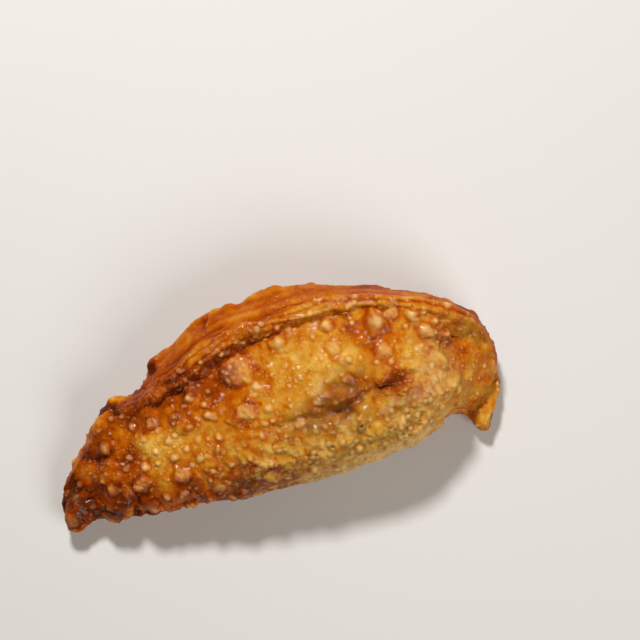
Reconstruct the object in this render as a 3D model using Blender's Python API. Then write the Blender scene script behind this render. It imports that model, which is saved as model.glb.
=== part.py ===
# A fried pepperoni and cheese empanada: one disc of dough folded over its filling, sealed along a
# half-moon seam and deep-fried until it blistered. It lies on its swollen underside with the seam
# curled up along the back. It is shut all round, so it is one solid.
#
# Seen from above, +X runs from the left corner to the right one, +Y from the fold to the seam, and
# +Z is up. The origin is under the middle of the outline, on the surface it rests on.

import math

import bmesh
import bpy
import numpy as np

MM = 0.001

# The mesh is a lying sphere: its rings become the cross-sections, its segments run round each.
RINGS = 82
SEGMENTS = 72

# Outline from above in mm, left corner to right corner. Each front point has its back point, and a
# cross-section runs from one to the other.
FRONT_EDGE = np.array(
    [
        (-77.9, -37.9), (-75.3, -44.5), (-69.3, -42.6), (-62.1, -40.7), (-55.0, -40.0),
        (-46.5, -38.5), (-37.0, -36.4), (-26.5, -34.1), (-14.2, -33.1), (-2.1, -29.4),
        (10.1, -27.0), (22.2, -23.1), (34.4, -18.4), (45.5, -14.2), (53.0, -8.2),
        (57.3, -4.1), (60.5, -4.0), (64.3, -5.3), (68.0, -8.9), (70.2, -9.9),
        (72.0, -8.9),
    ]
)
BACK_EDGE = np.array(
    [
        (-77.9, -37.9), (-77.7, -30.6), (-74.0, -21.3), (-67.6, -11.9), (-63.0, -1.9),
        (-52.4, 3.7), (-41.3, 17.6), (-27.7, 30.5), (-11.9, 36.8), (3.4, 40.8),
        (18.8, 40.9), (32.5, 40.8), (44.9, 38.4), (55.5, 36.1), (65.5, 31.0),
        (71.5, 23.9), (74.4, 15.2), (75.3, 7.8), (74.3, 0.4), (72.5, -5.9),
        (72.0, -8.9),
    ]
)

# Where the outline steps in or out between those points, at the folds of the back sheet:
# x, y, radius, and the shift in x and y.
NUDGES = (
    (-46.0, 13.4, 3.6, -2.2, 0.6), (-49.6, 6.8, 3.2, 0.9, -1.2), (-15.8, 35.8, 4.0, 0.5, -0.9),
    (-7.6, 39.6, 4.4, -0.4, 0.8),
)

# Heights in mm above the table, at equal steps from the left corner to the right one.
FRONT_HEIGHT = (6.5, 7.0, 9.0, 11.5, 13.5, 14.5, 14.0, 12.0, 10.5, 9.5, 9.0)
BACK_HEIGHT = (6.5, 9.0, 14.0, 18.0, 21.0, 23.0, 23.5, 21.0, 14.5, 11.0, 9.0)
SEAM_HEIGHT = (7.0, 13.0, 20.5, 28.0, 33.5, 36.0, 35.5, 29.0, 20.5, 14.0, 10.5)
BELLY_HEIGHT = (7.5, 13.0, 20.0, 28.0, 33.5, 36.5, 36.5, 31.5, 22.5, 15.0, 10.5)
FOOT_HEIGHT = (4.5, 3.6, 2.0, 0.4, -0.5, -0.8, -0.7, 0.0, 1.6, 3.2, 5.2)
CORNER_HEIGHTS = (6.6, 8.0)

# How far across each cross-section the seam lies, from the front edge (0) to the back edge (1).
SEAM_SHARE = (0.88, 0.91, 0.90, 0.80, 0.845, 0.91, 0.93, 0.94, 0.94, 0.92, 0.88)

# The belly stops short of the right corner with a rounded step down to the flat rim.
BELLY_END = {"centre": (40.5, 5.7), "radius": 16.0, "step": 6.5, "run": 6.0}

# The rim ends in its turn at this place along the body, further out at the middle of its line, and
# the corner of the sheet below shows past it, one step lower.
RIM_END = {"place": 0.796, "bow": 0.11, "run": 0.022, "step": 4.8}

# Lines drawn on the top, seen from above: points of the line, how far it rises (a minus is a
# crease), and its half width, all in mm. The cord is where the edge of the dough is pressed and
# rolled, and the crease runs along its belly side.
LINES = {
    "cord": (
        (
            (-55.5, -1.3), (-50.1, 1.3), (-44.0, 4.1), (-36.6, 9.0), (-30.5, 14.4), (-24.4, 19.5),
            (-16.6, 23.9), (-9.1, 26.2), (1.7, 29.5), (10.2, 33.0), (20.7, 35.0), (31.2, 35.7),
            (41.4, 35.2), (49.2, 33.7), (56.6, 31.8), (63.1, 28.7), (67.8, 24.5), (70.9, 19.3),
        ),
        (0.5, 1.4, 1.9, 2.4, 2.4, 2.3, 2.1, 1.9, 1.7, 1.7, 1.5, 1.5, 1.3, 1.1, 0.9, 0.6, 0.3, 0.1),
        (2.2, 2.3, 2.4, 2.6, 2.6, 2.5, 2.3, 2.2, 2.3, 2.3, 2.3, 2.2, 2.0, 2.0, 1.9, 1.8, 1.8, 1.8),
    ),
    "crease": (
        (
            (-48.6, -1.4), (-41.5, 2.5), (-34.7, 5.7), (-28.5, 9.6), (-22.4, 14.0), (-14.9, 18.9),
            (-8.1, 22.9), (0.0, 25.8), (10.2, 28.7), (20.7, 31.6), (31.3, 33.1), (41.5, 32.7),
            (49.3, 31.4), (56.8, 28.9), (61.9, 24.7),
        ),
        (-0.5, -1.0, -1.4, -1.6, -1.7, -1.7, -1.6, -1.5, -1.3, -1.1, -1.0, -1.0, -0.9, -0.6, -0.3),
        (1.6, 1.8, 2.0, 2.0, 2.0, 1.9, 1.8, 1.8, 1.8, 1.8, 1.8, 1.8, 1.8, 1.8, 1.8),
    ),
    "dent": (
        ((14.3, -2.6), (23.4, -0.6), (31.2, 5.6), (38.2, 7.5), (45.5, 10.6)),
        (-0.9, -3.0, -2.8, -3.2, -1.0),
        (2.6, 2.6, 2.6, 2.6, 2.4),
    ),
    "shade": (((8.2, 0.7), (17.0, 5.0), (23.8, 7.3), (29.9, 9.3)), (-0.5, -1.4, -1.6, -0.8), (3.4, 3.6, 3.2, 2.4)),
    "low_crease": (((0.0, -6.9), (8.5, -5.0), (15.6, -3.2), (22.1, -1.6)), (-0.8, -2.2, -2.5, -1.6), (2.4, 2.2, 2.2, 2.0)),
    "left_crease": (((-13.0, -8.6), (-2.0, -7.8), (6.7, -5.3)), (-0.5, -1.0, -0.5), (1.8, 1.8, 1.8)),
    "low_fold": (((31.4, -5.5), (39.3, -3.1), (47.9, 0.3)), (-0.2, -0.8, -0.3), (2.4, 2.6, 2.4)),
    "tip_crease": (((-72.0, -32.0), (-67.0, -34.0), (-62.0, -36.0)), (-1.0, -2.8, -1.4), (2.4, 2.4, 2.4)),
    "front_notch": (((-52.6, -29.5), (-51.8, -34.0), (-51.4, -38.5)), (-1.0, -2.4, -2.2), (2.0, 2.0, 2.0)),
    "left_fold_a": (((-70.0, -18.0), (-64.5, -20.6), (-59.0, -19.2), (-54.6, -21.6)), (-0.3, -1.4, -1.2, -0.3), (2.0, 2.2, 2.0, 2.0)),
    "left_fold_b": (((-75.0, -29.5), (-70.0, -32.0), (-64.0, -30.5)), (-0.4, -1.4, -0.4), (2.0, 2.2, 2.0)),
    "edge_fold_b": (((20.0, -18.0), (30.0, -14.8), (40.0, -10.6), (49.0, -5.4)), (0.2, 1.0, 1.0, 0.3), (1.8, 1.8, 1.8, 1.8)),
    "edge_fold_c": (((-22.0, -26.0), (-10.0, -22.0), (2.0, -18.6), (13.0, -16.4)), (0.2, 0.9, 0.9, 0.2), (1.8, 1.8, 1.8, 1.8)),
    "left_lip": (
        ((-45.6, 11.6), (-43.6, 15.8), (-40.0, 19.4), (-35.3, 24.1), (-31.0, 27.7), (-26.9, 30.6)),
        (0.2, 0.8, 0.8, 0.8, 0.8, 0.3),
        (1.5, 1.5, 1.5, 1.5, 1.5, 1.5),
    ),
}

# Blisters big enough to carry a highlight: x, y, radius and height in mm.
BLISTERS = (
    (31.8, 27.1, 4.6, 2.9), (34.4, 19.9, 3.4, 0.9), (14.6, 28.0, 3.9, 2.0), (-1.8, 21.4, 3.8, 2.2),
    (-17.4, 12.7, 5.8, 2.4), (-9.4, 13.9, 3.2, 1.2), (23.4, 28.9, 3.4, 1.6), (44.8, 31.5, 3.2, 2.0),
    (48.4, 26.3, 3.4, 2.0), (42.2, 27.1, 2.2, 1.4), (51.6, 29.1, 2.2, 1.6), (-22.0, 17.3, 2.2, 1.6),
    (-32.4, 2.5, 2.9, 2.0), (-45.1, -6.4, 3.4, 1.8), (-51.1, -7.1, 2.8, 1.2), (-60.6, -14.4, 3.6, 1.7),
    (-53.4, -18.2, 2.6, 1.3), (-47.5, -21.0, 2.8, 1.6), (-49.8, -26.9, 3.6, 1.9), (-40.6, -31.4, 2.4, 1.7),
    (-37.2, -17.9, 2.6, 1.2), (-43.2, -14.9, 2.4, 1.2), (-39.4, -12.1, 2.4, 1.1), (-34.2, -24.7, 3.8, 1.9),
    (-32.8, -13.9, 3.0, 1.2), (-26.8, -2.5, 4.2, 1.6), (-17.2, -3.9, 3.0, 1.3), (-12.0, -2.7, 4.6, 1.3),
    (-6.6, -6.9, 4.4, 1.3), (-22.0, -12.9, 3.2, 1.4), (-21.4, -28.7, 3.4, 1.9), (-17.2, -31.4, 3.0, 1.8),
    (-32.8, -34.1, 3.6, 2.0), (-46.0, -35.5, 4.4, 2.0), (-59.2, -38.1, 4.8, 2.6), (-75.0, -37.5, 4.2, 1.8),
    (-69.6, -41.3, 3.4, 1.6), (-69.6, -27.1, 3.0, 1.4), (-59.2, -28.5, 3.8, 1.5), (-4.0, -21.3, 2.6, 1.6),
    (34.2, 1.5, 4.0, 1.7), (26.4, -14.1, 2.8, 1.5), (15.8, -12.9, 2.2, 1.2), (11.2, 0.7, 2.0, 1.2),
    (17.8, 0.7, 2.0, 1.0), (22.2, -7.1, 4.6, 1.2), (11.0, -22.1, 3.2, 1.6), (4.8, -19.1, 3.4, 1.3),
    (60.2, 4.3, 2.6, 1.2), (58.4, 23.1, 3.0, 1.4), (64.8, 25.1, 2.6, 1.2), (67.8, -2.9, 3.4, 1.2),
)

# Blisters that nothing in particular placed: the box of cells they fall in, cell size, share of
# cells used, radius range, height as a share of the radius. They cover the sides and the underside
# as well as the top.
SCATTER = {
    "corner": (-96.0, -64.0, -24.0),
    "extent": (192.0, 128.0, 80.0),
    "cell": 8.0,
    "share": 0.75,
    "radius": (2.6, 4.6),
    "height": 0.36,
    "seed": 11,
}

FRIED_CRUST = {"colour": (0.56, 0.24, 0.05), "roughness": 0.42}


# The seam is the seventh of the fourteen points of a cross-section.
SEAM_TURN = 6.0 / 14.0


def smooth_step(low, high, value):
    share = np.clip((value - low) / (high - low), 0.0, 1.0)
    return share * share * (3.0 - 2.0 * share)


def spline(before, start, end, after, share):
    # Catmull-Rom curve between start and end.
    return 0.5 * (
        2.0 * start
        + (end - before) * share
        + (2.0 * before - 5.0 * start + 4.0 * end - after) * share**2
        + (3.0 * start - before - 3.0 * end + after) * share**3
    )


def along(values, place):
    # The smooth curve through equally spaced values, read at a place from 0 to 1.
    values = np.asarray(values, float)
    values = np.concatenate([[2 * values[0] - values[1]], values, [2 * values[-1] - values[-2]]])
    steps = len(values) - 3
    k = np.clip(place, 0.0, 1.0) * steps
    i = np.minimum(k.astype(int), steps - 1)
    share = (k - i).reshape(k.shape + (1,) * (values.ndim - 1))
    return spline(values[i], values[i + 1], values[i + 2], values[i + 3], share)


def section_points(place):
    # Each cross-section is a closed curve through these points: how far across it, and how high.
    # It starts at the front, goes over the belly, crease and seam, and comes back underneath.
    front, back = along(FRONT_HEIGHT, place), along(BACK_HEIGHT, place)
    seam, belly = along(SEAM_HEIGHT, place), along(BELLY_HEIGHT, place)
    foot, seam_at = along(FOOT_HEIGHT, place), along(SEAM_SHARE, place)
    none = np.zeros_like(place)
    points = (
        (none, front),
        (none + 0.05, front + 0.46 * (belly - front)),
        (none + 0.20, front + 0.84 * (belly - front)),
        (none + 0.44, belly),
        (seam_at - 0.24, belly + 0.30 * (seam - belly)),
        (seam_at - 0.09, belly + 0.75 * (seam - belly) - 0.6),
        (seam_at, seam),
        (0.45 * seam_at + 0.55, seam - 0.38 * (seam - back)),
        (none + 1.0, back),
        (none + 0.95, foot + 0.45 * (back - foot)),
        (none + 0.78, foot + 0.11 * (back - foot)),
        (none + 0.50, foot),
        (none + 0.24, foot + 0.16 * (front - foot)),
        (none + 0.06, foot + 0.50 * (front - foot)),
    )
    across = np.stack([p[0] for p in points], axis=-1)
    height = np.stack([p[1] for p in points], axis=-1)
    return across, height


def round_the_section(place, turn):
    # A point of the closed cross-section curve, where turn runs from 0 to 1 round it.
    across, height = section_points(place)
    count = across.shape[-1]
    k = (turn % 1.0) * count
    i = k.astype(int)
    share = k - i

    def read(values):
        corners = [np.take_along_axis(values, ((i + n) % count)[..., None], -1)[..., 0] for n in (-1, 0, 1, 2)]
        return spline(*corners, share)

    return read(across), read(height)


def even_places(count):
    # Places that space the rings evenly along the body, by the mean length of its two edges.
    place = np.linspace(0.0, 1.0, 801)
    steps = [np.linalg.norm(np.diff(along(edge, place), axis=0), axis=1) for edge in (FRONT_EDGE, BACK_EDGE)]
    length = np.concatenate([[0.0], np.cumsum(steps[0] + steps[1])])
    return np.interp(np.arange(count + 1) / count * length[-1], length, place)


def even_turns(count):
    # Turns that space the segments evenly round the middle section, closer on the top and seam.
    turn = np.linspace(0.0, 1.0, 1401)
    middle = np.full_like(turn, 0.5)
    across, height = round_the_section(middle, turn)
    width = np.linalg.norm(along(BACK_EDGE, np.array([0.5])) - along(FRONT_EDGE, np.array([0.5])))
    step = np.hypot(np.diff(across) * width, np.diff(height))
    middles = (turn[1:] + turn[:-1]) / 2.0
    step *= 0.75 + 0.85 * smooth_step(9.0 / 14.0, 8.0 / 14.0, middles)
    step *= 1.0 + 1.3 * np.exp(-(((middles - SEAM_TURN) / 0.05) ** 2))
    length = np.concatenate([[0.0], np.cumsum(step)])
    return np.interp(np.arange(count) / count * length[-1], length, turn)


def plain_form(place, turn):
    # The smooth empanada before folds and blisters. The corners round off over a short length.
    across, height = round_the_section(place, turn)
    front, back = along(FRONT_EDGE, place), along(BACK_EDGE, place)
    flat = front + (back - front) * across[:, None]
    for x, y, radius, shift_x, shift_y in NUDGES:
        near = np.exp(-((flat - (x, y)) ** 2).sum(axis=1) / radius**2)
        flat = flat + near[:, None] * (shift_x, shift_y)
    corner_height = np.where(place < 0.5, *CORNER_HEIGHTS)
    rounding = np.sqrt(np.clip(np.minimum(place, 1.0 - place) / 0.05, 0.0, 1.0))
    height = corner_height + (height - corner_height) * rounding
    return np.column_stack([flat, height]), across


def distance_to_curve(flat, curve, samples=160):
    # Distance in plan to a smooth curve, and how far along the curve the nearest point is.
    share = np.linspace(0.0, 1.0, samples)
    line = along(curve, share)
    gap = np.linalg.norm(flat[:, None, :] - line[None], axis=2)
    return gap.min(axis=1), share[gap.argmin(axis=1)]


def line_relief(points, facing_up):
    rise = np.zeros(len(points))
    for curve, rises, half_widths in LINES.values():
        gap, where = distance_to_curve(points[:, :2], curve)
        rise += along(rises, where) * np.exp(-((gap / along(half_widths, where)) ** 2))
    return rise * facing_up


def end_drop(points, place, turn, across):
    # How far the top comes down, in mm, past the belly and past the rim. Nothing near the table
    # moves. Towards the back the cord stands clear of the first step, and at the right it comes
    # down with it.
    offset = points[:, :2] - BELLY_END["centre"]
    reach = np.hypot(offset[:, 0], offset[:, 1])
    bearing = np.degrees(np.arctan2(offset[:, 1], offset[:, 0]))
    sector = smooth_step(66.0, 42.0, bearing) * smooth_step(-75.0, -50.0, bearing)
    sector = sector * smooth_step(0.92, 0.80, place)
    past_belly = smooth_step(BELLY_END["radius"], BELLY_END["radius"] + BELLY_END["run"], reach)
    from_seam = np.abs(SEAM_TURN - turn) * 90.0
    cord = 1.0 - smooth_step(1.0, 7.0, from_seam) * (turn < SEAM_TURN)
    standing = smooth_step(22.0, 50.0, bearing) * cord
    first = BELLY_END["step"] * past_belly * sector * (1.0 - standing) * smooth_step(3.0, 16.0, points[:, 2])

    rim_line = RIM_END["place"] + RIM_END["bow"] * across * (1.0 - across)
    past_rim = smooth_step(0.0, RIM_END["run"], place - rim_line)
    return first + RIM_END["step"] * past_rim * smooth_step(3.0, 12.0, points[:, 2] - first)


def dome(distance, radius, height):
    # A blister: a steep-sided dome with a faint moat round its foot.
    share = distance / radius
    rise = height * np.clip(1.0 - share**2, 0.0, 1.0) ** 0.7
    moat = -0.10 * height * np.exp(-(((share - 1.12) / 0.16) ** 2))
    return rise + moat


def named_blisters(points, facing_up):
    rise = np.zeros(len(points))
    top = np.flatnonzero(facing_up > 0.05)
    for x, y, radius, height in BLISTERS:
        nearest = top[np.argmin(np.hypot(points[top, 0] - x, points[top, 1] - y))]
        centre = np.array([x, y, points[nearest, 2]])
        rise = np.maximum(rise, 0.0) + dome(np.linalg.norm(points - centre, axis=1), radius, height)
    return rise


def scattered_blisters(points):
    # One random blister in most cells of a grid, and the highest of those near a point counts.
    cell, corner = SCATTER["cell"], np.array(SCATTER["corner"])
    size = np.ceil(np.array(SCATTER["extent"]) / cell).astype(int)
    rng = np.random.default_rng(SCATTER["seed"])
    centres = rng.random((*size, 3))
    radii = rng.uniform(*SCATTER["radius"], size)
    used = rng.random(size) < SCATTER["share"]
    home = np.floor((points - corner) / cell).astype(int)
    rise = np.zeros(len(points))
    for step in np.ndindex(3, 3, 3):
        at = home + np.array(step) - 1
        index = tuple(at.T)
        centre = corner + (at + centres[index]) * cell
        share = np.linalg.norm(points - centre, axis=1) / radii[index]
        bump = SCATTER["height"] * radii[index] * np.clip(1.0 - share**2, 0.0, 1.0) ** 0.7
        rise = np.maximum(rise, bump * used[index])
    return rise


def lying_sphere():
    # The primitive, and where each of its vertices goes: place along the body, turn round it.
    bm = bmesh.new()
    bmesh.ops.create_uvsphere(bm, u_segments=SEGMENTS, v_segments=RINGS, radius=1.0)
    mesh = bpy.data.meshes.new("empanada")
    bm.to_mesh(mesh)
    bm.free()
    ball = np.array([v.co for v in mesh.vertices])
    ring = np.rint(np.arccos(np.clip(ball[:, 2], -1.0, 1.0)) / math.pi * RINGS)
    place = even_places(RINGS)[ring.astype(int)]
    segment = np.rint(np.arctan2(ball[:, 1], ball[:, 0]) / (2.0 * math.pi) * SEGMENTS).astype(int)
    turn = even_turns(SEGMENTS)[segment % SEGMENTS]
    return mesh, place, turn


def set_points(mesh, points):
    mesh.vertices.foreach_set("co", (points * MM).ravel())
    mesh.update()


def face_outwards(mesh):
    bm = bmesh.new()
    bm.from_mesh(mesh)
    bmesh.ops.recalc_face_normals(bm, faces=bm.faces)
    bm.to_mesh(mesh)
    bm.free()
    mesh.update()


def normals_of(mesh):
    normals = np.empty(len(mesh.vertices) * 3)
    mesh.vertex_normals.foreach_get("vector", normals)
    return normals.reshape(-1, 3)


def resting_on_table(points):
    # Stands the form on its flattened spot and centres its outline on the origin.
    points = points.copy()
    points[:, 2] = np.maximum(points[:, 2], 0.0)
    middle = (points.min(axis=0) + points.max(axis=0)) / 2.0
    points[:, :2] -= middle[:2]
    return points


def fried_crust():
    material = bpy.data.materials.new("fried_crust")
    material.use_nodes = True
    shader = material.node_tree.nodes["Principled BSDF"]
    shader.inputs["Base Color"].default_value = (*FRIED_CRUST["colour"], 1.0)
    shader.inputs["Roughness"].default_value = FRIED_CRUST["roughness"]
    shader.inputs["Metallic"].default_value = 0.0
    return material


def build_empanada():
    mesh, place, turn = lying_sphere()
    points, across = plain_form(place, turn)
    set_points(mesh, points)
    face_outwards(mesh)
    facing_up = smooth_step(0.05, 0.35, normals_of(mesh)[:, 2])

    points += normals_of(mesh) * line_relief(points, facing_up)[:, None]
    points[:, 2] -= end_drop(points, place, turn, across)
    set_points(mesh, points)
    normals = normals_of(mesh)

    # Blisters are left off the spot it rests on.
    clear_of_table = smooth_step(0.5, 5.0, points[:, 2])
    named = named_blisters(points, facing_up)
    rise = np.maximum(named, scattered_blisters(points) * clear_of_table)
    rise = np.where(rise > 0.0, rise, named)
    points = resting_on_table(points + normals * rise[:, None])
    set_points(mesh, points)

    mesh.shade_smooth()
    mesh.materials.append(fried_crust())
    empanada = bpy.data.objects.new("empanada", mesh)
    bpy.context.scene.collection.objects.link(empanada)


def main():
    for old in list(bpy.data.objects):
        bpy.data.objects.remove(old)
    build_empanada()


main()
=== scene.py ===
import math
from functools import partial

import bpy
import numpy as np
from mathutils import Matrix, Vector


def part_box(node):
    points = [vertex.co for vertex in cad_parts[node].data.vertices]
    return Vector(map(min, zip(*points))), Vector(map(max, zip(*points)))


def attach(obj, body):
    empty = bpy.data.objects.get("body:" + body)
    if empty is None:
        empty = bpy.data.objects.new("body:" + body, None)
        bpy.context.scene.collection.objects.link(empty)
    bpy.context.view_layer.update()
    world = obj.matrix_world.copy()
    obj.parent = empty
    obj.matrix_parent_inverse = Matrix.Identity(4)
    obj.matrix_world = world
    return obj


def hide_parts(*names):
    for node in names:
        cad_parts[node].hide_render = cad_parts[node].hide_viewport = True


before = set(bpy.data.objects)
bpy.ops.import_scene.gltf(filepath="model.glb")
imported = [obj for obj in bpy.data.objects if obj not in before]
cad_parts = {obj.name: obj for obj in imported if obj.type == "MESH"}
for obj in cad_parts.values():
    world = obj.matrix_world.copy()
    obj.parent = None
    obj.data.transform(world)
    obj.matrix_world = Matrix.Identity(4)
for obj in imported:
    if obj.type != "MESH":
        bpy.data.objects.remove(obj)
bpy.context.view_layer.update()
mm = 0.001
print("frame loaded")

# numbers and curves


def smoothStep(low, high, value):
    # 0 below low, 1 above high, and 3x^2 - 2x^3 between.
    share = np.clip((value - low) / (high - low), 0.0, 1.0)
    return share * share * (3.0 - 2.0 * share)


def bell(value, width):
    # exp(-(value / width)^2): 1 at zero, next to nothing past two widths.
    return np.exp(-((value / width) ** 2))


def spline(before, start, end, after, share):
    # Catmull-Rom cubic from start to end, with slopes from the points on either side.
    return 0.5 * (
        2.0 * start
        + (end - before) * share
        + (2.0 * before - 5.0 * start + 4.0 * end - after) * share**2
        + (3.0 * start - before - 3.0 * end + after) * share**3
    )


def along(values, place):
    # The smooth curve through equally spaced values, read at places from 0 to 1.
    values = np.asarray(values, float)
    values = np.concatenate([[2 * values[0] - values[1]], values, [2 * values[-1] - values[-2]]])
    steps = len(values) - 3
    k = np.clip(place, 0.0, 1.0) * steps
    i = np.minimum(k.astype(int), steps - 1)
    share = (k - i).reshape(k.shape + (1,) * (values.ndim - 1))
    return spline(values[i], values[i + 1], values[i + 2], values[i + 3], share)


def ripple(points, wavelength, seed, waves=14):
    # Sum of sine waves in random directions, sin(k . p + phase) / sqrt(n / 2): soft noise near -1 to 1.
    rng = np.random.default_rng(seed)
    heading = rng.normal(size=(waves, 3))
    heading /= np.linalg.norm(heading, axis=1)[:, None]
    pitch = 2.0 * math.pi / (wavelength * rng.uniform(0.7, 1.5, waves))
    phase = rng.uniform(0.0, 2.0 * math.pi, waves)
    return np.sin(points @ (heading * pitch[:, None]).T + phase).sum(axis=1) / math.sqrt(waves / 2.0)


# The form, shared with the solid: its outline from above, and heights above the table.
form = {
    "rings": 400,
    "turns": 246,
    "seamTurn": 6.0 / 14.0,
    "frontEdge": (
        (-77.9, -37.9), (-75.3, -44.5), (-69.3, -42.6), (-62.1, -40.7), (-55, -40), (-46.5, -38.5),
        (-37, -36.4), (-26.5, -34.1), (-14.2, -33.1), (-2.1, -29.4), (10.1, -27), (22.2, -23.1),
        (34.4, -18.4), (45.5, -14.2), (53, -8.2), (57.3, -4.1), (60.5, -4), (64.3, -5.3), (68, -8.9),
        (70.2, -9.9), (72, -8.9),
    ),
    "backEdge": (
        (-77.9, -37.9), (-77.7, -30.6), (-74, -21.3), (-67.6, -11.9), (-63, -1.9), (-52.4, 3.7),
        (-41.3, 17.6), (-27.7, 30.5), (-11.9, 36.8), (3.4, 40.8), (18.8, 40.9), (32.5, 40.8), (44.9, 38.4),
        (55.5, 36.1), (65.5, 31), (71.5, 23.9), (74.4, 15.2), (75.3, 7.8), (74.3, 0.4), (72.5, -5.9),
        (72, -8.9),
    ),
    # where the outline steps in or out between those points: x, y, radius, shift in x and y
    "nudges": (
        (-46, 13.4, 3.6, -2.2, 0.6), (-49.6, 6.8, 3.2, 0.9, -1.2), (-15.8, 35.8, 4, 0.5, -0.9),
        (-7.6, 39.6, 4.4, -0.4, 0.8),
    ),
    "frontHeight": (6.5, 7, 9, 11.5, 13.5, 14.5, 14, 12, 10.5, 9.5, 9),
    "backHeight": (6.5, 9, 14, 18, 21, 23, 23.5, 21, 14.5, 11, 9),
    "seamHeight": (7, 13, 20.5, 28, 33.5, 36, 35.5, 29, 20.5, 14, 10.5),
    "bellyHeight": (7.5, 13, 20, 28, 33.5, 36.5, 36.5, 31.5, 22.5, 15, 10.5),
    "footHeight": (4.5, 3.6, 2, 0.4, -0.5, -0.8, -0.7, 0, 1.6, 3.2, 5.2),
    "seamShare": (0.88, 0.91, 0.90, 0.80, 0.845, 0.91, 0.93, 0.94, 0.94, 0.92, 0.88),
    "cornerHeight": (6.6, 8.0),
    "cornerRun": 0.05,  # share of the length over which each corner closes
    "reliefRun": 0.035,  # and over which relief grows from nothing at the corner
    "topSlope": (0.05, 0.35),  # upward parts of the normal where the top's relief starts and is full
    "blisterHeights": (0.5, 5.0),  # heights where blisters start and are full size
    # how close together the lines round the section are: the width that a share across stands
    # for, the weight underneath, what the top adds, and what the seam adds over a reach in turns
    "spacing": {"width": 74.0, "under": 0.42, "top": 0.98, "seam": 0.8, "seamReach": 0.05},
}


def sectionPoints(place):
    # A cross-section is a closed curve through fourteen points (share across, height): front edge,
    # over the belly, down into the crease, up to the seam, back edge, and home underneath.
    names = ("frontHeight", "backHeight", "seamHeight", "bellyHeight", "footHeight", "seamShare")
    front, back, seam, belly, foot, seamAt = (along(form[name], place) for name in names)
    none = np.zeros_like(place)
    points = (
        (none, front),
        (none + 0.05, front + 0.46 * (belly - front)),
        (none + 0.20, front + 0.84 * (belly - front)),
        (none + 0.44, belly),
        (seamAt - 0.24, belly + 0.30 * (seam - belly)),
        (seamAt - 0.09, belly + 0.75 * (seam - belly) - 0.6),
        (seamAt, seam),
        (0.45 * seamAt + 0.55, seam - 0.38 * (seam - back)),
        (none + 1.0, back),
        (none + 0.95, foot + 0.45 * (back - foot)),
        (none + 0.78, foot + 0.11 * (back - foot)),
        (none + 0.50, foot),
        (none + 0.24, foot + 0.16 * (front - foot)),
        (none + 0.06, foot + 0.50 * (front - foot)),
    )
    return np.stack([p[0] for p in points], axis=-1), np.stack([p[1] for p in points], axis=-1)


def roundTheSection(place, turn):
    # The closed Catmull-Rom curve through those points, read at turns from 0 to 1.
    across, height = sectionPoints(place)
    count = across.shape[-1]
    k = (turn % 1.0) * count
    i = k.astype(int)

    def read(values):
        near = [np.take_along_axis(values, ((i + n) % count)[..., None], -1)[..., 0] for n in (-1, 0, 1, 2)]
        return spline(*near, k - i)

    return read(across), read(height)


def plainForm(place, turn):
    # p = front + (back - front) * across, at the section's height; the corners close over a short
    # length, where heights draw together as the square root of the distance from the corner.
    across, height = roundTheSection(place, turn)
    front, back = along(form["frontEdge"], place), along(form["backEdge"], place)
    flat = front + (back - front) * across[:, None]
    for x, y, radius, shiftX, shiftY in form["nudges"]:
        flat = flat + bell(np.hypot(flat[:, 0] - x, flat[:, 1] - y), radius)[:, None] * (shiftX, shiftY)
    corner = np.where(place < 0.5, *form["cornerHeight"])
    rounding = np.sqrt(np.clip(np.minimum(place, 1.0 - place) / form["cornerRun"], 0.0, 1.0))
    return np.column_stack([flat, corner + (height - corner) * rounding]), across


def evenPlaces(count):
    # Rings at equal steps of the mean length of the front and back edges.
    place = np.linspace(0.0, 1.0, 801)
    edges = [along(form[edge], place) for edge in ("frontEdge", "backEdge")]
    steps = sum(np.linalg.norm(np.diff(edge, axis=0), axis=1) for edge in edges)
    length = np.concatenate([[0.0], np.cumsum(steps)])
    return np.interp(np.linspace(0.0, length[-1], count), length, place)


def evenTurns(count):
    # Turns at equal steps of weighted length round the middle section: close on the top, closest
    # at the seam, wide underneath.
    turn = np.linspace(0.0, 1.0, 1401)
    across, height = roundTheSection(np.full_like(turn, 0.5), turn)
    spacing = form["spacing"]
    step = np.hypot(np.diff(across) * spacing["width"], np.diff(height))
    middle = (turn[1:] + turn[:-1]) / 2.0
    step *= spacing["under"] + spacing["top"] * smoothStep(9.5 / 14.0, 8.0 / 14.0, middle)
    step *= 1.0 + spacing["seam"] * bell(middle - form["seamTurn"], spacing["seamReach"])
    length = np.concatenate([[0.0], np.cumsum(step)])
    return np.interp(np.arange(count) / count * length[-1], length, turn)


def gridNormals(points):
    # Cross product of the differences along and round the grid, unit length, pointing outwards.
    grid = points.reshape(form["rings"], form["turns"], 3)
    around = np.roll(grid, -1, axis=1) - np.roll(grid, 1, axis=1)
    normal = np.cross(np.gradient(grid, axis=0), around)
    normal[0], normal[-1] = normal[1].mean(axis=0), normal[-2].mean(axis=0)
    normal /= np.maximum(np.linalg.norm(normal, axis=2), 1e-12)[..., None]
    return normal.reshape(-1, 3)


# lines drawn on the top: cord, strands, folds and creases

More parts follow.
